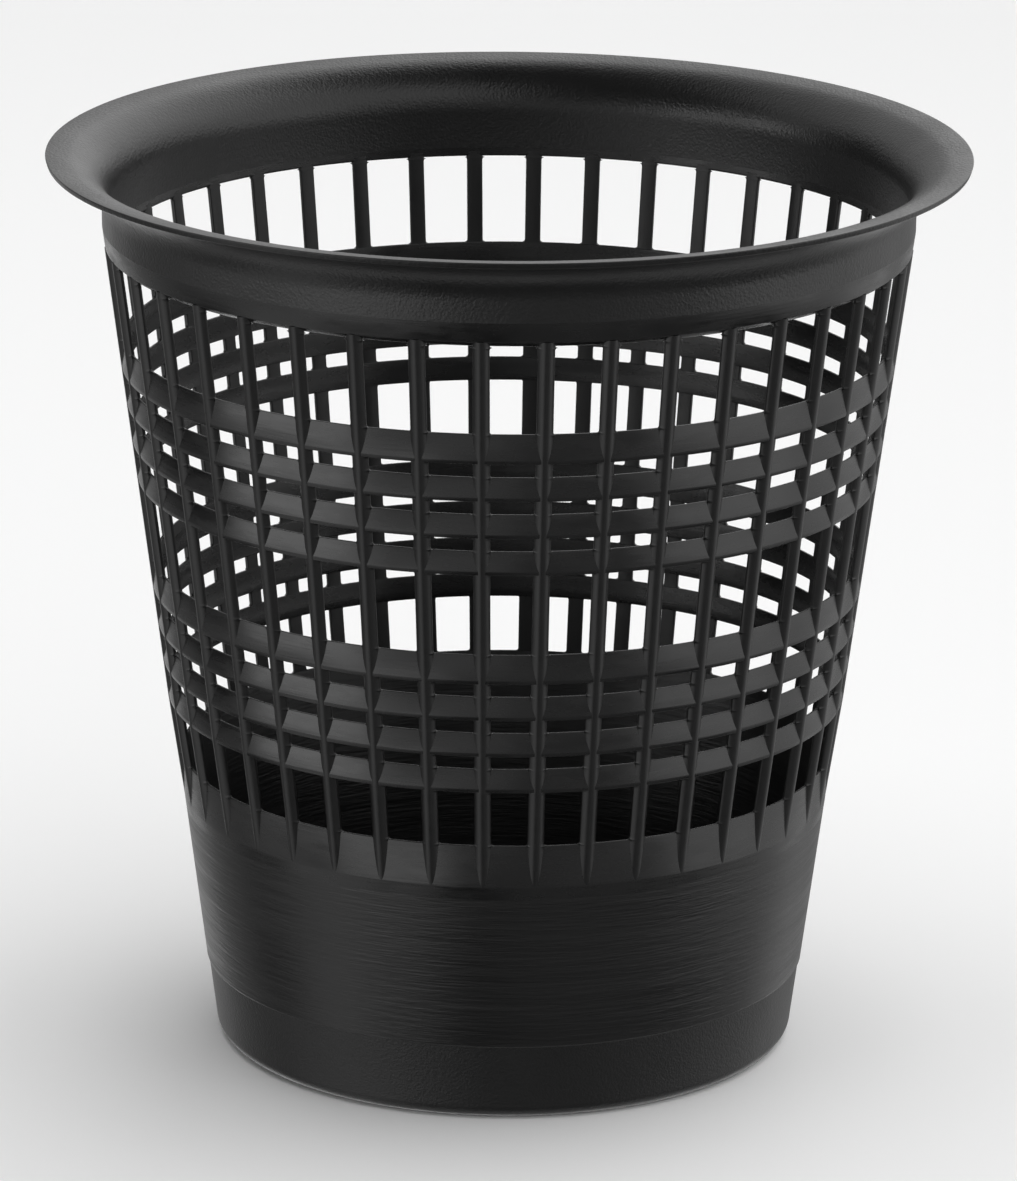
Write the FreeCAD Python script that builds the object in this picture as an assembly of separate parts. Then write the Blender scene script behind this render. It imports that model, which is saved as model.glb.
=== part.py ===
import FreeCAD, Part
import math
import os

# Open-work waste basket, moulded in one shot of black polypropylene.
# Its features are modelled as solids that meet face to face: the flared rim, the collar,
# forty upright ribs, eight hoops in two groups of four, the solid base wall and the floor pan.
# Millimetres, +Z up, origin on the floor at the basket's axis.

# Overall sizes
basket_height = 306.8        # floor to the edge of the rim
neck_radius = 134.8          # outside, at the collar's lower edge
foot_radius = 98.9           # the same cone carried down to the floor
wall = 2.7                   # lattice, collar and base wall, measured along the radius

# Rim and collar
flare_radius = 17.0          # inside of the rolled-out rim
lip_reach = 4.3              # rim beyond the centre of the roll
lip_tilt = 8.0               # degrees by which the rim still rises at its edge
lip_edge = 2.0               # thickness at the edge
collar_height = 13.0
collar_drop = 2.3            # the collar reaches this much lower on the inside
strip_height = 6.5           # smooth strip along the collar's lower edge
strip_taper = 0.9            # how far the strip draws in
collar_taper = 0.2           # the collar's own draft above the strip

# Lattice
rib_count = 40
rib_turn = -3.7              # degrees from the front to the nearest rib
rib_width = 5.5
rib_flank = 1.8              # depth at which the rib's sides start to round off
nose_width = 0.9
nose_depth = 0.06
rib_proud = 0.15             # rib fronts ahead of the hoops' edges
flank_bulge = 0.2
lap_depth = 1.35             # outer share of a crossing that belongs to the rib
hoops_in_group = 4
first_hoop_height = 9.9      # the taller hoop under a row of long windows
hoop_height = 7.9
slot_height = 4.9            # between the hoops of one group
lip_height = 1.3             # upright edge at the bottom of a hoop's face
face_recess = 1.9            # how far a face starts behind the rib fronts
under_drop = 0.4             # hoops hang lower on the inside by this
row_shares = (31.8, 28.3, 19.6)   # how the three rows of long windows share the height

# Base
base_recess = 0.55           # base wall behind the cone
base_wall_height = 99.7      # floor to the lower edge of the bottom windows
base_face_height = 14.6      # long slope that the rib tails run out on
step_height = 27.1           # shoulder above the matt foot
step_depth = 0.5
corner_radius = 4.5
inner_corner_radius = 6.0
floor_thickness = 3.0

# Heights that follow
tilt = math.radians(lip_tilt)
lip_length = lip_reach + flare_radius * math.sin(tilt)
collar_top = basket_height - flare_radius * math.cos(tilt) - lip_length * math.tan(tilt)
collar_foot = collar_top - collar_height
taper = (neck_radius - foot_radius) / collar_foot
hoops_height = 2 * (first_hoop_height + (hoops_in_group - 1) * (hoop_height + slot_height))
windows_height = collar_foot - base_wall_height - hoops_height
row_heights = [windows_height * share / sum(row_shares) for share in row_shares]


def outer_radius(z):
    """Cone through the hoops' edges and the collar's lower edge."""
    return foot_radius + taper * z


def inner_radius(z):
    return outer_radius(z) - wall


def point(r, z):
    return FreeCAD.Vector(r, 0, z)


def revolve(edges):
    """Ring from a closed outline in the XZ plane."""
    face = Part.Face(Part.Wire(edges))
    return face.revolve(FreeCAD.Vector(0, 0, 0), FreeCAD.Vector(0, 0, 1), 360)


def outline(corners):
    """Straight edges through the corners, back to the first one."""
    following = corners[1:] + corners[:1]
    return [Part.LineSegment(a, b).toShape() for a, b in zip(corners, following)]


def arc(start, middle, end):
    return Part.Arc(start, middle, end).toShape()


def line(start, end):
    return Part.LineSegment(start, end).toShape()


def on_circle(centre, radius, degrees):
    angle = math.radians(degrees)
    return centre + FreeCAD.Vector(radius * math.cos(angle), 0, radius * math.sin(angle))


def single_solid(shape):
    """The solid itself, freed of the compound that a boolean leaves round it."""
    solids = shape.Solids
    if len(solids) != 1:
        raise ValueError(f"expected one solid, found {len(solids)}")
    return solids[0]


def collar_outer_top():
    return neck_radius + strip_taper + collar_taper


def make_rim_flare():
    """Trumpet roll from the collar's top out to a rim that still rises a little."""
    under_radius = flare_radius - wall
    centre = point(collar_outer_top() + under_radius, collar_top)
    top_start = on_circle(centre, flare_radius, 180)
    top_end = on_circle(centre, flare_radius, 90 + lip_tilt)
    under_start = on_circle(centre, under_radius, 180)
    under_end = on_circle(centre, under_radius, 90 + lip_tilt)
    edge_top = top_end + FreeCAD.Vector(lip_length, 0, lip_length * math.tan(tilt))
    edge_bottom = edge_top - FreeCAD.Vector(0, 0, lip_edge)
    middle = 135 + lip_tilt / 2
    return revolve([
        arc(top_start, on_circle(centre, flare_radius, middle), top_end),
        line(top_end, edge_top),
        line(edge_top, edge_bottom),
        line(edge_bottom, under_end),
        arc(under_end, on_circle(centre, under_radius, middle), under_start),
        line(under_start, top_start),
    ])


def make_collar():
    inner_foot = collar_foot - collar_drop
    return revolve(outline([
        point(neck_radius, collar_foot),
        point(neck_radius + strip_taper, collar_foot + strip_height),
        point(collar_outer_top(), collar_top),
        point(collar_outer_top() - wall, collar_top),
        point(inner_radius(inner_foot), inner_foot),
    ]))


def make_above_ribs():
    """Everything above the collar's sloping underside, where the ribs stop."""
    inner_foot = collar_foot - collar_drop
    return revolve(outline([
        point(0, inner_foot),
        point(inner_radius(inner_foot), inner_foot),
        point(neck_radius, collar_foot),
        point(neck_radius + wall, collar_foot),
        point(neck_radius + wall, collar_top),
        point(0, collar_top),
    ]))


def make_hoop_ring(bottom, height):
    """Full ring: a sloping face, a short upright edge and a flat inside."""
    top = bottom + height
    inner_bottom = bottom - under_drop
    return revolve(outline([
        point(inner_radius(top), top),
        point(outer_radius(top) - face_recess, top),
        point(outer_radius(bottom + lip_height), bottom + lip_height),
        point(outer_radius(bottom), bottom),
        point(inner_radius(inner_bottom), inner_bottom),
    ]))


def make_lap_cone(bottom, top):
    """Everything inside the surface where a rib laps over a hoop."""
    return revolve(outline([
        point(0, bottom),
        point(outer_radius(bottom) - lap_depth, bottom),
        point(outer_radius(top) - lap_depth, top),
        point(0, top),
    ]))


def make_base_wall():
    face_foot = base_wall_height - base_face_height
    return revolve(outline([
        point(inner_radius(step_height), step_height),
        point(outer_radius(step_height) - base_recess, step_height),
        point(outer_radius(face_foot) - base_recess, face_foot),
        point(outer_radius(base_wall_height) - face_recess, base_wall_height),
        point(inner_radius(base_wall_height), base_wall_height),
    ]))


def make_floor_pan():
    """Floor, rounded corner and the foot band up to the step."""
    lean = math.degrees(math.atan(taper))
    foot_offset = foot_radius - base_recess - step_depth
    slant = math.hypot(1, taper)
    centre = point(foot_offset + taper * corner_radius - corner_radius * slant, corner_radius)
    corner_start = on_circle(centre, corner_radius, -90)
    corner_end = on_circle(centre, corner_radius, -lean)
    bend_height = floor_thickness + inner_corner_radius
    bend = point(inner_radius(bend_height) - inner_corner_radius * slant, bend_height)
    bend_start = on_circle(bend, inner_corner_radius, -90)
    bend_end = on_circle(bend, inner_corner_radius, -lean)
    axis_foot = point(0, 0)
    axis_floor = point(0, floor_thickness)
    outer_top = point(foot_offset + taper * step_height, step_height)
    inner_top = point(inner_radius(step_height), step_height)
    half_turn = (-90 - lean) / 2
    return revolve([
        line(axis_foot, corner_start),
        arc(corner_start, on_circle(centre, corner_radius, half_turn), corner_end),
        line(corner_end, outer_top),
        line(outer_top, inner_top),
        line(inner_top, bend_end),
        arc(bend_end, on_circle(bend, inner_corner_radius, half_turn), bend_start),
        line(bend_start, axis_floor),
        line(axis_floor, axis_foot),
    ])


def hoop_spans():
    """Bottom and height of each hoop, from the top one down."""
    spans = []
    edge = collar_foot
    for row in row_heights[:2]:
        edge -= row
        for place in range(hoops_in_group):
            height = first_hoop_height if place == 0 else hoop_height
            edge -= height
            spans.append((edge, height))
            edge -= slot_height
        edge += slot_height
    return spans


def make_rib_bar():
    """Bar with a rounded ogive front, leaning with the cone, longer than the rib.

    Below the lowest hoop its front leans in more, so that the tail runs out on the base wall.
    """
    tail_top = hoop_spans()[-1][0]
    face_foot = base_wall_height - base_face_height
    lean_in = (rib_proud + base_recess) / (tail_top - face_foot)

    def at(depth, across):
        return FreeCAD.Vector(outer_radius(tail_top) + rib_proud - depth, across, tail_top)

    half = rib_width / 2
    nose = nose_width / 2
    back = wall + rib_proud
    middle_depth = (rib_flank + nose_depth) / 2 - flank_bulge
    middle_across = (half + nose) / 2 + flank_bulge
    front = [
        arc(at(rib_flank, -half), at(middle_depth, -middle_across), at(nose_depth, -nose)),
        arc(at(nose_depth, -nose), at(0, 0), at(nose_depth, nose)),
        arc(at(nose_depth, nose), at(middle_depth, middle_across), at(rib_flank, half)),
    ]
    sides = [
        line(at(rib_flank, half), at(back, half)),
        line(at(back, half), at(back, -half)),
        line(at(back, -half), at(rib_flank, -half)),
    ]
    section = Part.Face(Part.Wire(front + sides))
    rise = collar_foot + wall - tail_top
    upper = section.extrude(FreeCAD.Vector(taper * rise, 0, rise))
    fall = tail_top - face_foot + wall
    lower = section.extrude(FreeCAD.Vector(-(taper + lean_in) * fall, 0, -fall))
    inside = revolve(outline([
        point(0, tail_top - fall),
        point(inner_radius(tail_top - fall), tail_top - fall),
        point(inner_radius(tail_top), tail_top),
        point(0, tail_top),
    ]))
    return upper.fuse(lower.cut(inside))


def turned(shape, index):
    """Copy of a shape at the front, turned to the place of the given rib."""
    copy = shape.copy()
    angle = -90 + rib_turn + index * 360 / rib_count
    copy.rotate(FreeCAD.Vector(0, 0, 0), FreeCAD.Vector(0, 0, 1), angle)
    return copy


def save(shape, name):
    shape.exportStep(f"parts/{name}.step")


os.makedirs("parts", exist_ok=True)

collar = make_collar()
base_wall = make_base_wall()
rings = [make_hoop_ring(bottom, height) for bottom, height in hoop_spans()]
lap_cone = make_lap_cone(base_wall_height - base_face_height - wall, collar_foot + wall)
bar = make_rib_bar()
bar_front = bar.cut(lap_cone)
ring_backs = [ring.common(lap_cone) for ring in rings]

rib = single_solid(bar.cut([make_above_ribs(), base_wall] + ring_backs))
for index in range(rib_count):
    save(turned(rib, index), f"rib_{index + 1:02d}")

all_fronts = [turned(bar_front, index) for index in range(rib_count)]
for number, ring in enumerate(rings, start=1):
    save(single_solid(ring.cut(all_fronts)), f"hoop_{number}")

save(single_solid(make_rim_flare()), "rim_flare")
save(single_solid(collar), "collar")
save(single_solid(base_wall), "base_wall")
save(single_solid(make_floor_pan()), "floor_pan")
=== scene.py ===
# %% [markdown]
# # An open-work waste basket
# The basket is one moulding of black polypropylene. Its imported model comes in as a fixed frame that
# says where every rib and hoop is. This script dresses that frame with finished, rounded pieces, a
# moulded-plastic finish, a pale floor and soft studio light.

import bpy
import bmesh
import math
from mathutils import Matrix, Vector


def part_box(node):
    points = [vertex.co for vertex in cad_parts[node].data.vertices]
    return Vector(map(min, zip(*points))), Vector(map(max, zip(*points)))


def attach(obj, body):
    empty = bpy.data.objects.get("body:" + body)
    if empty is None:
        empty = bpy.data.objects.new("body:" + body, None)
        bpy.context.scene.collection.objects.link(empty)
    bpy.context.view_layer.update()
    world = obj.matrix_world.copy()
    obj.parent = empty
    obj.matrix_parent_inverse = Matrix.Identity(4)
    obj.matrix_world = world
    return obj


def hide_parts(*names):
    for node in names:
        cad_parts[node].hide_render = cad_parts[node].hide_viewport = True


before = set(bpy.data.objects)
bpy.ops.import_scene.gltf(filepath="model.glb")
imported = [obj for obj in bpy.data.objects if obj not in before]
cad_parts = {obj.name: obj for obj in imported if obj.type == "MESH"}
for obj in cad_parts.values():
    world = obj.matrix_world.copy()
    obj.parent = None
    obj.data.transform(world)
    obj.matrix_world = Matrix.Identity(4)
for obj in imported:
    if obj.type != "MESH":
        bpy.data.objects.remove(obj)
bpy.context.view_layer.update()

# %% [markdown]
# ## Camera
# A long lens from a little above the rim keeps the basket's sides nearly straight and shows the
# inside of the back wall. The camera is placed by its distance, its height and its small tilt.

# %% Camera
camera_distance = 2.4164
camera_height = 0.8716
camera_pitch = 0.28859         # radians below level
camera_pan = 0.0003
camera_roll = 0.00737

camera_data = bpy.data.cameras.new("studio_camera")
camera_data.lens = 226.84
camera_data.clip_end = 100
camera = bpy.data.objects.new("studio_camera", camera_data)
camera.matrix_world = (
    Matrix.Translation((0, -camera_distance, camera_height))
    @ Matrix.Rotation(-camera_pan, 4, "Z")
    @ Matrix.Rotation(math.pi / 2 - camera_pitch, 4, "X")
    @ Matrix.Rotation(camera_roll, 4, "Z")
)
bpy.context.collection.objects.link(camera)
bpy.context.scene.camera = camera

# %% [markdown]
# ## Sizes read from the frame
# Every hoop's edge lies on one cone. Two hoops are enough to know it, because a hoop's box gives its
# widest radius and the height of its underside.

# %% Sizes
mm = 0.001
wall = 2.7 * mm
under_drop = 0.4 * mm          # hoops hang lower on the inside
collar_drop = 2.3 * mm         # and so does the collar
lip_height = 1.3 * mm          # upright edge below a hoop's sloping face
face_recess = 1.9 * mm         # how far a face starts behind the edge
base_face_height = 14.6 * mm   # long slope at the top of the base wall
base_recess = 0.55 * mm        # base wall behind the cone
rib_count = 40
rib_turn = math.radians(-3.7)
ring_steps = 12 * rib_count

hoop_names = [f"hoop_{number}" for number in range(1, 9)]
rib_names = [f"rib_{number:02d}" for number in range(1, rib_count + 1)]


def edge_of(node):
    """Height and radius of the widest edge of a hoop."""
    low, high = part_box(node)
    return low[2] + under_drop + lip_height, (high[0] - low[0]) / 2


top_edge, bottom_edge = edge_of(hoop_names[0]), edge_of(hoop_names[-1])
taper = (top_edge[1] - bottom_edge[1]) / (top_edge[0] - bottom_edge[0])


def outer_radius(z):
    return top_edge[1] + taper * (z - top_edge[0])


def inner_radius(z):
    return outer_radius(z) - wall


print("taper", round(taper, 4), "radius at the floor", round(outer_radius(0) / mm, 2), "mm")

# %% [markdown]
# ## Turned pieces
# Rim, collar, hoops, base and floor are all rings. On a real mould they are turned on a lathe, and
# here they are made the same way: a closed outline of a few corners, each corner rounded by a vertex
# bevel, is spun once round the axis.


# %% Helper for turned pieces
def round_corner(bm, vertex, radius, segments):
    """Replace one corner of an outline by an arc of the given radius."""
    first, second = [edge.other_vert(vertex).co - vertex.co for edge in vertex.link_edges]
    half_angle = first.angle(second) / 2
    bmesh.ops.bevel(
        bm, geom=[vertex], offset=radius / math.tan(half_angle), segments=segments,
        profile=0.5, affect="VERTICES", material=-1,
    )


def turned_piece(name, corners, closed=True, steps=ring_steps, sharp_degrees=40):
    """Spin an outline of (radius, height, rounding, segments) corners round the axis."""
    bm = bmesh.new()
    points = [bm.verts.new((radius, 0, height)) for radius, height, _, _ in corners]
    pairs = list(zip(points, points[1:]))
    if closed:
        pairs.append((points[-1], points[0]))
    for start, end in pairs:
        bm.edges.new((start, end))
    for vertex, (_, _, rounding, segments) in zip(points, corners):
        if rounding:
            round_corner(bm, vertex, rounding, segments)
    bmesh.ops.spin(
        bm, geom=bm.verts[:] + bm.edges[:], cent=(0, 0, 0), axis=(0, 0, 1),
        angle=2 * math.pi, steps=steps, use_merge=True, use_duplicate=False,
    )
    bmesh.ops.remove_doubles(bm, verts=bm.verts[:], dist=0.002 * mm)
    return finish_mesh(bm, name, sharp_degrees)


def finish_mesh(bm, name, sharp_degrees=40):
    """Turn the faces outwards, shade them and make the object."""
    bmesh.ops.recalc_face_normals(bm, faces=bm.faces[:])
    mesh = bpy.data.meshes.new(name)
    bm.to_mesh(mesh)
    bm.free()
    mesh.shade_smooth()
    mesh.set_sharp_from_angle(angle=math.radians(sharp_degrees))
    piece = bpy.data.objects.new(name, mesh)
    bpy.context.collection.objects.link(piece)
    return piece


# %% [markdown]
# ## Rim and collar
# The rim rolls outwards like the bell of a trumpet and ends in a rounded edge. Below it the collar
# stands almost upright, with a smooth strip along its foot that draws in a little. The two are one
# skin on the real basket, so they are turned from one outline.

# %% Rim and collar
collar_low, collar_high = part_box("collar")
rim_low, rim_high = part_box("rim_flare")
collar_foot = collar_low[2] + collar_drop
collar_top = collar_high[2]
rim_top = rim_high[2]
rim_radius = (rim_high[0] - rim_low[0]) / 2
collar_radius = (collar_high[0] - collar_low[0]) / 2
flare_radius = 17.0 * mm       # roll on the inside of the rim
lip_tilt = math.radians(8)     # the rim still rises a little at its edge
lip_edge = 2.0 * mm
strip_height = 6.5 * mm
strip_taper = 0.9 * mm
neck_radius = outer_radius(collar_foot)
strip_top = collar_foot + strip_height

under_radius = flare_radius - wall
roll_centre = collar_radius + under_radius
under_end = (roll_centre - under_radius * math.sin(lip_tilt),
             collar_top + under_radius * math.cos(lip_tilt))
under_slope = (rim_top - lip_edge - under_end[1]) / (rim_radius - under_end[0])
rim = turned_piece("rim_and_collar", [
    (neck_radius, collar_foot, 0.4 * mm, 4),
    (neck_radius + strip_taper, strip_top, 0.5 * mm, 4),
    (collar_radius, under_end[1] - (under_end[0] - collar_radius) * under_slope, under_radius, 22),
    (rim_radius - 0.6 * mm, rim_top - lip_edge, 0.5 * mm, 5),
    (rim_radius, rim_top, 0.3 * mm, 4),
    (collar_radius - wall, rim_top - (rim_radius - collar_radius + wall) * math.tan(lip_tilt),
     flare_radius, 30),
    (inner_radius(collar_foot) + 0.3 * mm, collar_foot + 1.2 * mm, 0, 0),
    (inner_radius(collar_foot - collar_drop), collar_foot - collar_drop, 0.5 * mm, 4),
])
print("rim", len(rim.data.polygons), "faces")

# %% [markdown]
# ## Hoops
# Seen from outside each hoop has a face that slopes from the inside of the basket out to a short
# upright edge. The underside hangs a little lower on the inside, so light from the floor catches it.


# %% Hoops
def make_hoop(name):
    low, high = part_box(name)
    foot, top = low[2] + under_drop, high[2]
    return turned_piece(name + "_ring", [
        (inner_radius(top), top, 0.25 * mm, 3),
        (outer_radius(top) - face_recess, top, 0.2 * mm, 3),
        (outer_radius(foot + lip_height), foot + lip_height, 0.5 * mm, 4),
        (outer_radius(foot), foot, 0.35 * mm, 4),
        (inner_radius(foot - under_drop), foot - under_drop, 0.35 * mm, 4),
    ], sharp_degrees=28)


hoops = [make_hoop(name) for name in hoop_names]
print("hoops", sum(len(hoop.data.polygons) for hoop in hoops), "faces")

# %% [markdown]
# ## Base wall and floor
# Below the windows the wall is solid. Its top edge slopes like a hoop's face, only longer, and the
# ribs run out on it. A small step marks the matt foot, and a rounded corner leads into the floor.

# %% Base
base_low, base_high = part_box("base_wall")
step_height = base_low[2]
base_top = base_high[2]
face_foot = base_top - base_face_height
step_depth = 0.5 * mm
smooth_band = 80.7 * mm        # above this the base wall is smooth
floor_thickness = 3.0 * mm


def foot_radius(z):
    return outer_radius(z) - base_recess - step_depth


base = turned_piece("base_and_floor", [
    (0, 0, 0, 0),
    (foot_radius(0), 0, 5.5 * mm, 14),
    (foot_radius(step_height - 0.6 * mm), step_height - 0.6 * mm, 0.3 * mm, 3),
    (outer_radius(step_height) - base_recess, step_height, 0.35 * mm, 4),
    (outer_radius(smooth_band) - base_recess, smooth_band, 0, 0),
    (outer_radius(face_foot) - base_recess, face_foot, 4 * mm, 6),
    (outer_radius(base_top) - face_recess, base_top, 0.25 * mm, 3),
    (inner_radius(base_top), base_top, 0.25 * mm, 3),
    (inner_radius(floor_thickness), floor_thickness, 6 * mm, 12),
    (0, floor_thickness, 0, 0),
], closed=False)
print("base", len(base.data.polygons), "faces")

# %% [markdown]
# ## Ribs
# A rib's front is a rounded gothic arch in section, so it narrows to a point wherever a sloping face
# rises to meet it. One rib is extruded along the cone, spread a little where it meets a hoop, as
# moulded corners are, and copied round the basket.

# %% Ribs
rib_half = 2.75 * mm
rib_flank = 1.8 * mm           # depth of the arch
rib_proud = 0.25 * mm
arch_power = 2.13              # how the arch deepens away from its nose
arch_points = 9
fillet = 0.8 * mm

hoop_boxes = [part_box(name) for name in hoop_names]
junctions = [collar_foot - collar_drop, base_top]
for low, high in hoop_boxes:
    junctions += [low[2] + under_drop / 2, high[2]]

tail_top = hoop_boxes[-1][0][2] + under_drop
tail_lean = (rib_proud + base_recess) / (tail_top - face_foot)


def arch_depth(share):
    """Depth behind the nose, from 0 in the middle to the flank's depth at the side."""
    return rib_flank * share ** arch_power


def rib_levels():
    """Heights of the rib's cross-sections, closer together beside each hoop."""
    levels = {collar_foot - 0.1 * mm, base_top - base_face_height - 2 * mm}
    for height in junctions:
        for share in (-1, -0.6, -0.3, -0.1, 0, 0.1, 0.3, 0.6, 1):
            levels.add(height + fillet * share)
    return sorted(levels)


def spread_at(z):
    """How much wider the rib's sides are beside a junction: a quarter-round corner."""
    distance = min(abs(z - height) for height in junctions) / fillet
    if distance >= 1:
        return 0
    return fillet * (1 - math.sqrt(1 - (1 - distance) ** 2))


def make_rib_mesh():
    bm = bmesh.new()
    levels = rib_levels()
    shares = [step / arch_points for step in range(-arch_points, arch_points + 1)]
    corners = [(rib_half * share, arch_depth(abs(share))) for share in shares]
    back = wall + rib_proud - 0.05 * mm
    corners += [(rib_half - 0.1 * mm, back), (-rib_half + 0.1 * mm, back)]
    points = [bm.verts.new((outer_radius(levels[0]) + rib_proud - depth, across, levels[0]))
              for across, depth in corners]
    section = bm.faces.new(points)
    for corner in points[-2:]:
        round_corner(bm, corner, 0.5 * mm, 3)
    for corner in (points[0], points[2 * arch_points]):
        round_corner(bm, corner, 0.5 * mm, 3)
    ring = bm.faces[:]
    for below, above in zip(levels, levels[1:]):
        grown = bmesh.ops.extrude_face_region(bm, geom=ring)
        moved = [item for item in grown["geom"] if isinstance(item, bmesh.types.BMVert)]
        ring = [item for item in grown["geom"] if isinstance(item, bmesh.types.BMFace)]
        bmesh.ops.translate(bm, verts=moved, vec=(taper * (above - below), 0, above - below))
    for vertex in bm.verts:
        share = abs(vertex.co.y) / rib_half
        vertex.co.y *= 1 + spread_at(vertex.co.z) / rib_half * share ** 4
        below = max(0, tail_top - vertex.co.z)
        inside = inner_radius(vertex.co.z) + 0.05 * mm
        vertex.co.x = max(vertex.co.x - tail_lean * below, min(vertex.co.x, inside))
    return bm


rib_bm = make_rib_mesh()
rib_master = bpy.data.meshes.new("rib_master")
rib_bm.to_mesh(rib_master)
rib_bm.free()

ribs = []
for index, name in enumerate(rib_names):
    bm = bmesh.new()
    bm.from_mesh(rib_master)
    turn = -math.pi / 2 + rib_turn + index * 2 * math.pi / rib_count
    bmesh.ops.rotate(bm, verts=bm.verts[:], cent=(0, 0, 0), matrix=Matrix.Rotation(turn, 3, "Z"))
    ribs.append(finish_mesh(bm, name + "_bar", 50))
print("ribs", sum(len(rib.data.polygons) for rib in ribs), "faces")

# %% [markdown]
# ## Finishes
# All of it is one black plastic. What differs is the skin that the mould left: a fine leather-like
# grain on rim, collar and foot, turned lines on the base wall, and a smoother, shinier skin with faint
# level scratches on hoops, ribs and the strip. Each pattern is kept in a node group, so that several
# materials can share it. A few helpers come first, which keep the node trees short to write.


# %% Helpers for node trees
def node(tree, kind, **settings):
    made = tree.nodes.new(kind)
    for key, value in settings.items():
        setattr(made, key, value)
    return made


def feed(tree, target, value):
    """Put a number, a vector or another node's output into an input."""
    if hasattr(value, "is_output"):
        tree.links.new(value, target)
    else:
        target.default_value = value


def maths(tree, operation, *values):
    made = node(tree, "ShaderNodeMath", operation=operation)
    for target, value in zip(made.inputs, values):
        feed(tree, target, value)
    return made.outputs[0]


def noise(tree, position, scale, detail=2.0, rough=0.5):
    made = node(tree, "ShaderNodeTexNoise")
    feed(tree, made.inputs["Vector"], position)
    feed(tree, made.inputs["Scale"], scale)
    made.inputs["Detail"].default_value = detail
    made.inputs["Roughness"].default_value = rough
    return made.outputs["Fac"]


def remap(tree, value, low, high, new_low, new_high):
    made = node(tree, "ShaderNodeMapRange")
    for label, setting in (("Value", value), ("From Min", low), ("From Max", high),
                           ("To Min", new_low), ("To Max", new_high)):
        feed(tree, made.inputs[label], setting)
    return made.outputs["Result"]


def stretched(tree, position, along, up):
    """Position scaled so that a pattern is drawn out level with the floor."""
    made = node(tree, "ShaderNodeVectorMath", operation="MULTIPLY")
    factors = node(tree, "ShaderNodeCombineXYZ")
    for axis, value in enumerate((along, along, up)):
        feed(tree, factors.inputs[axis], value)
    tree.links.new(position, made.inputs[0])
    tree.links.new(factors.outputs[0], made.inputs[1])
    return made.outputs[0]


def new_group(name, inputs, outputs):
    """A node group with a Position input, numbers {name: default} and the named outputs."""
    group = bpy.data.node_groups.new(name, "ShaderNodeTree")
    group.interface.new_socket("Position", in_out="INPUT", socket_type="NodeSocketVector")
    for label, value in inputs.items():
        made = group.interface.new_socket(label, in_out="INPUT", socket_type="NodeSocketFloat")
        made.default_value = value
    for label in outputs:
        group.interface.new_socket(label, in_out="OUTPUT", socket_type="NodeSocketFloat")
    return group, node(group, "NodeGroupInput").outputs, node(group, "NodeGroupOutput").inputs


# %% [markdown]
# ## Three patterns
# Grain is a mesh of rounded cells. Turned lines and scratches are noise drawn out level with the
# floor, because the mould was turned on a lathe and polished round its axis. Each pattern hands out a
# height for the relief and a mask for the roughness.


# %% Grain, turned lines and scratches
def make_grain_group():
    """Leather-like grain: rounded pebbles with fine creases between them."""
    group, given, result = new_group("moulded_grain", {"Pebbles per metre": 1500.0},
                                     ["Height", "Mask"])
    size = given["Pebbles per metre"]
    cells = node(group, "ShaderNodeTexVoronoi", feature="SMOOTH_F1")
    feed(group, cells.inputs["Vector"], given["Position"])
    feed(group, cells.inputs["Scale"], size)
    cells.inputs["Smoothness"].default_value = 0.6
    worms = noise(group, given["Position"], maths(group, "MULTIPLY", size, 0.55), 3.0, 0.6)
    height = maths(group, "MULTIPLY_ADD", worms, 1.4, maths(group, "MULTIPLY", cells.outputs[0], -0.9))
    feed(group, result["Height"], height)
    feed(group, result["Mask"], noise(group, given["Position"], 45.0, 3.0))
    return group


def make_turned_group():
    """Level ridges of uneven depth, broken by rows of small chatter marks."""
    group, given, result = new_group(
        "turned_lines", {"Lines per metre": 900.0, "Along": 60.0, "Chatter": 0.5},
        ["Height", "Mask"])
    place = given["Position"]
    drawn_out = stretched(group, place, given["Along"], given["Lines per metre"])
    lines = noise(group, drawn_out, 1.0, 3.0, 0.6)
    broad = noise(group, stretched(group, place, 9.0, 260.0), 1.0, 2.0)
    marks = noise(group, stretched(group, place, 420.0, 620.0), 1.0, 1.0)
    patches = noise(group, stretched(group, place, 14.0, 160.0), 1.0, 2.0)
    where = remap(group, patches, 0.48, 0.62, 0.0, given["Chatter"])
    sharp = remap(group, lines, 0.35, 0.65, 0.0, 1.0)
    total = maths(group, "MULTIPLY_ADD", marks, where, maths(group, "MULTIPLY_ADD", broad, 0.8, sharp))
    feed(group, result["Height"], total)
    feed(group, result["Mask"], broad)
    return group


def make_scratch_group():
    """Fine level scratches over slightly cloudy gloss."""
    group, given, result = new_group(
        "level_scratches", {"Scratches per metre": 2600.0, "Along": 90.0}, ["Height", "Mask"])
    place = given["Position"]
    fine = noise(group, stretched(group, place, given["Along"], given["Scratches per metre"]), 1.0, 2.0)
    wide = noise(group, stretched(group, place, 30.0, 700.0), 1.0, 2.0)
    feed(group, result["Height"], maths(group, "MULTIPLY_ADD", wide, 1.5, fine))
    clouds = noise(group, stretched(group, place, 70.0, 260.0), 1.0, 3.0, 0.6)
    feed(group, result["Mask"], clouds)
    return group


grain_group = make_grain_group()
turned_group = make_turned_group()
scratch_group = make_scratch_group()
print("groups", [group.name for group in (grain_group, turned_group, scratch_group)])

# %% [markdown]
# ## The plastics
# One black plastic with six skins. Roughness sets how sharply a skin mirrors the windows, and the
# relief is under a tenth of a millimetre deep, so it breaks up highlights but not outlines.


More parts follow.
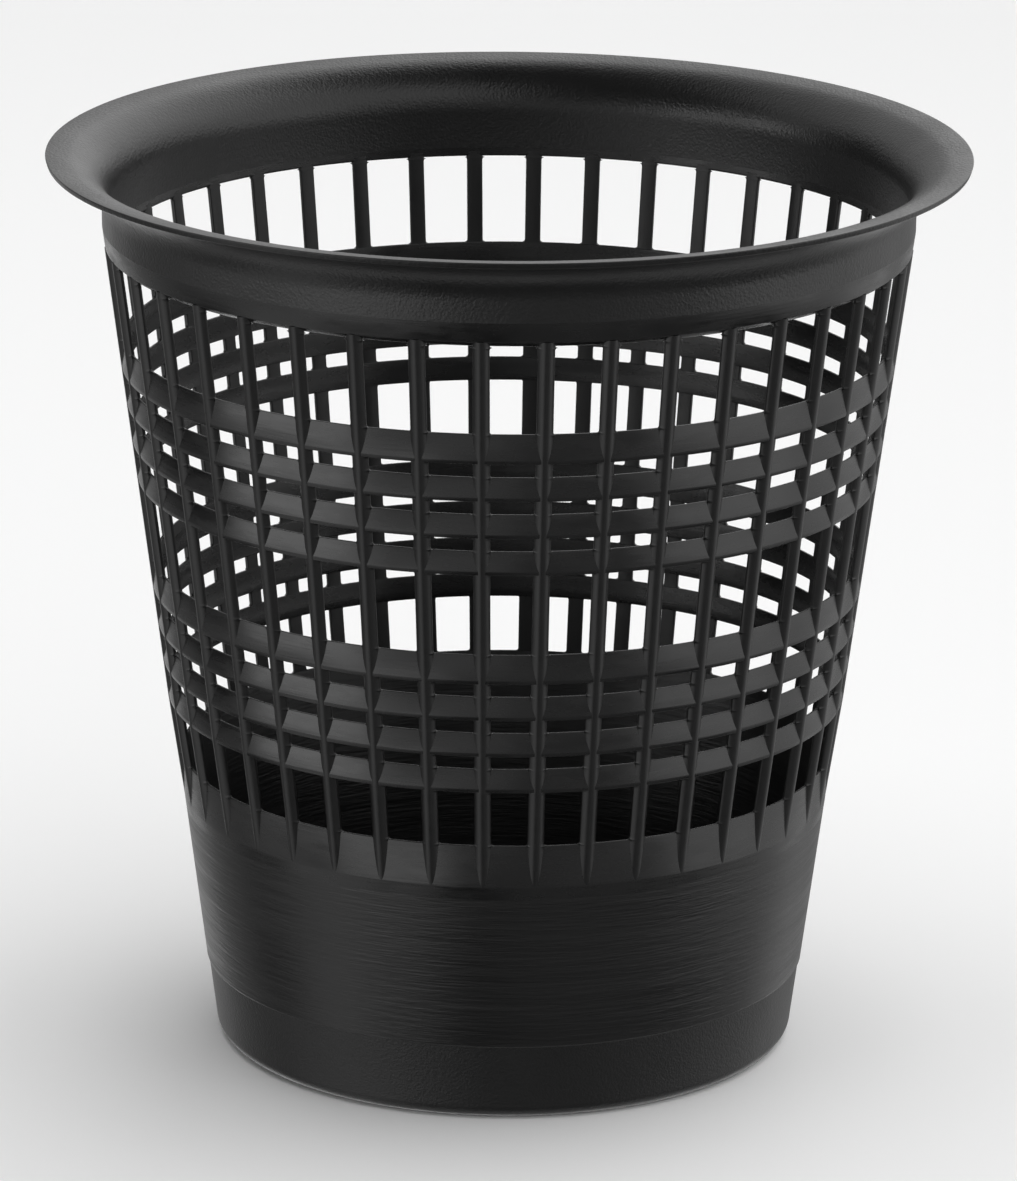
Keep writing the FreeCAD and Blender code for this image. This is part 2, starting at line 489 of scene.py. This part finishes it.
# %% Plastic
def make_plastic(name, effect, roughness, spread, relief_height, colour=0.005, **settings):
    """Black polypropylene: the effect's height goes to the bump, its mask to the roughness."""
    material = bpy.data.materials.new(name)
    material.use_nodes = True
    tree = material.node_tree
    shader = tree.nodes["Principled BSDF"]
    shader.inputs["IOR"].default_value = 1.49
    place = node(tree, "ShaderNodeTexCoord")
    surface = node(tree, "ShaderNodeGroup")
    surface.node_tree = effect
    tree.links.new(place.outputs["Object"], surface.inputs["Position"])
    for label, value in settings.items():
        surface.inputs[label.replace("_", " ")].default_value = value
    rough = remap(tree, surface.outputs["Mask"], 0.3, 0.7, roughness - spread, roughness + spread)
    tree.links.new(rough, shader.inputs["Roughness"])
    tint = node(tree, "ShaderNodeMix", data_type="RGBA")
    # a mix node's sockets 6 and 7 take its two colours
    tint.inputs[6].default_value = (colour * 0.8, colour * 0.8, colour * 0.82, 1)
    tint.inputs[7].default_value = (colour * 1.3, colour * 1.3, colour * 1.3, 1)
    tree.links.new(surface.outputs["Mask"], tint.inputs[0])
    tree.links.new(tint.outputs[2], shader.inputs["Base Color"])
    relief = node(tree, "ShaderNodeBump")
    relief.inputs["Strength"].default_value = 1.0
    relief.inputs["Distance"].default_value = relief_height
    tree.links.new(surface.outputs["Height"], relief.inputs["Height"])
    tree.links.new(relief.outputs["Normal"], shader.inputs["Normal"])
    return material


# name, pattern, roughness, how far it varies, height of the relief
grained = make_plastic("grained_plastic", grain_group, 0.36, 0.03, 0.09 * mm,
                       Pebbles_per_metre=1150.0)
matt_foot = make_plastic("matt_foot", grain_group, 0.45, 0.03, 0.08 * mm,
                         Pebbles_per_metre=1300.0)
turned = make_plastic("turned_wall", turned_group, 0.34, 0.05, 0.06 * mm)
hoop_skin = make_plastic("scratched_hoop", scratch_group, 0.27, 0.06, 0.022 * mm,
                         Scratches_per_metre=1700.0)
rib_skin = make_plastic("satin_rib", scratch_group, 0.36, 0.04, 0.006 * mm, Along=900.0)
strip_skin = make_plastic("glossy_strip", scratch_group, 0.25, 0.09, 0.016 * mm,
                          Scratches_per_metre=900.0)

# %% [markdown]
# ## Dress the pieces
# Each piece rides on the basket's one body, and the solids of the frame that it stands for are
# hidden. Where a piece changes skin, the material goes by height on its faces.


# %% Dress
def dress(piece, slot, replaced, *bands):
    """Give faces a material by height: bands are (material, lowest, highest) from general to special."""
    for material, _, _ in bands:
        piece.data.materials.append(material)
    for index, (_, low, high) in enumerate(bands):
        for face in piece.data.polygons:
            if low <= face.center.z <= high:
                face.material_index = index
    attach(piece, "root")
    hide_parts(*replaced)


dress(rim, "grained_plastic", ["rim_flare", "collar"],
      (grained, 0, 1), (strip_skin, 0, strip_top - 0.2 * mm))
dress(base, "grained_plastic", ["base_wall", "floor_pan"],
      (matt_foot, 0, step_height - 0.1 * mm), (turned, step_height - 0.1 * mm, smooth_band),
      (hoop_skin, smooth_band, 1))
for piece, replaced in zip(hoops, hoop_names):
    dress(piece, "lattice_plastic", [replaced], (hoop_skin, 0, 1))
for piece, replaced in zip(ribs, rib_names):
    dress(piece, "lattice_plastic", [replaced], (rib_skin, 0, 1))
print("dressed", 2 + len(hoops) + len(ribs), "pieces")

# %% [markdown]
# ## Floor and light
# A wide pale floor fills the view. It stays out of the plastic's reflections and casts no shadow, so
# that light from below its level reaches the basket too, as it would off a bright table.

# %% Floor
floor_bm = bmesh.new()
bmesh.ops.create_circle(floor_bm, cap_ends=True, segments=96, radius=14)
floor_mesh = bpy.data.meshes.new("studio_floor")
floor_bm.to_mesh(floor_mesh)
floor_bm.free()
floor = bpy.data.objects.new("studio_floor", floor_mesh)
bpy.context.collection.objects.link(floor)
floor_paint = bpy.data.materials.new("pale_floor")
floor_paint.use_nodes = True
floor_shader = floor_paint.node_tree.nodes["Principled BSDF"]
floor_shader.inputs["Base Color"].default_value = (0.9, 0.9, 0.9, 1)
floor_shader.inputs["Roughness"].default_value = 0.9
floor_mesh.materials.append(floor_paint)
floor.visible_glossy = False
floor.visible_shadow = False
print("floor", len(floor_mesh.polygons), "face")

# %% [markdown]
# ## Studio light
# Dark satin plastic shows little but its surroundings, so the surroundings draw its shape. Here they
# are bands of soft windows all round, one band above another, bright at the left, dimmer on the right
# and dark in front. A wide lamp overhead brightens the floor and isn't seen in the plastic.


# %% Studio light
def softbox_mask(tree, direction, azimuth, half_width, elevation, half_height, softness):
    """One inside a soft-edged window of the sky, nought outside. Angles are in degrees."""
    split = node(tree, "ShaderNodeSeparateXYZ")
    tree.links.new(direction, split.inputs[0])
    backwards = maths(tree, "MULTIPLY", split.outputs[1], -1.0)
    angle = maths(tree, "ARCTAN2", split.outputs[0], backwards)
    off = maths(tree, "SUBTRACT", angle, math.radians(azimuth))
    wrapped = maths(tree, "WRAP", off, math.pi, -math.pi)
    aside = maths(tree, "ABSOLUTE", wrapped)
    height = maths(tree, "ARCSINE", split.outputs[2])
    above = maths(tree, "ABSOLUTE", maths(tree, "SUBTRACT", height, math.radians(elevation)))
    masks = []
    for distance, half in ((aside, half_width), (above, half_height)):
        fade = node(tree, "ShaderNodeMapRange", interpolation_type="SMOOTHSTEP")
        fade.inputs["From Min"].default_value = math.radians(half + softness)
        fade.inputs["From Max"].default_value = math.radians(half - softness)
        feed(tree, fade.inputs["Value"], distance)
        masks.append(fade.outputs["Result"])
    return maths(tree, "MULTIPLY", masks[0], masks[1])


studio = bpy.data.worlds.new("studio_light")
bpy.context.scene.world = studio
studio.use_nodes = True
sky = studio.node_tree
background = sky.nodes["Background"]
direction = node(sky, "ShaderNodeTexCoord").outputs["Generated"]
window_softness = 4
bands = [
    # elevation, half height, half width, then azimuth and brightness of each window
    (-64, 13, 25.7, ((-154, 0.20), (-103, 0.77), (103, 0.69), (154, 0.47))),
    (-39, 12, 15, ((-165, 1.76), (-135, 0.35), (-75, 0.78), (-45, 0.36), (15, 0.19), (45, 0.16),
                   (105, 0.21), (135, 0.49), (165, 1.51))),
    (-16, 11, 20, ((-160, 0.62), (-120, 0.27), (-80, 0.53), (-40, 1.65), (0, 0.29), (40, 0.40),
                   (80, 1.21), (120, 0.83), (160, 0.37))),
    (8, 13, 22.5, ((-158, 0.52), (-68, 2.59), (-22, 0.70), (22, 0.26), (68, 1.61), (112, 1.06),
                   (158, 1.18))),
    (40, 19, 45, ((-135, 0.80), (45, 1.10), (135, 1.77))),
    (-88, 9, 180, ((0, 0.8),)),
]
total = 0.0
for elevation, half_height, half_width, windows in bands:
    for azimuth, brightness in windows:
        mask = softbox_mask(
            sky, direction, azimuth, half_width, elevation, half_height, window_softness)
        total = maths(sky, "MULTIPLY_ADD", mask, brightness, total)
sky.links.new(total, background.inputs["Strength"])
background.inputs["Color"].default_value = (1, 1, 1, 1)

key_data = bpy.data.lights.new("overhead_softbox", "AREA")
key_data.energy = 60
key_data.size = 3.0
key = bpy.data.objects.new("overhead_softbox", key_data)
key.location = (0, 0, 3.5)
key.visible_glossy = False
bpy.context.collection.objects.link(key)

bpy.context.scene.view_settings.view_transform = "Standard"
print("windows", sum(len(windows) for *_, windows in bands))
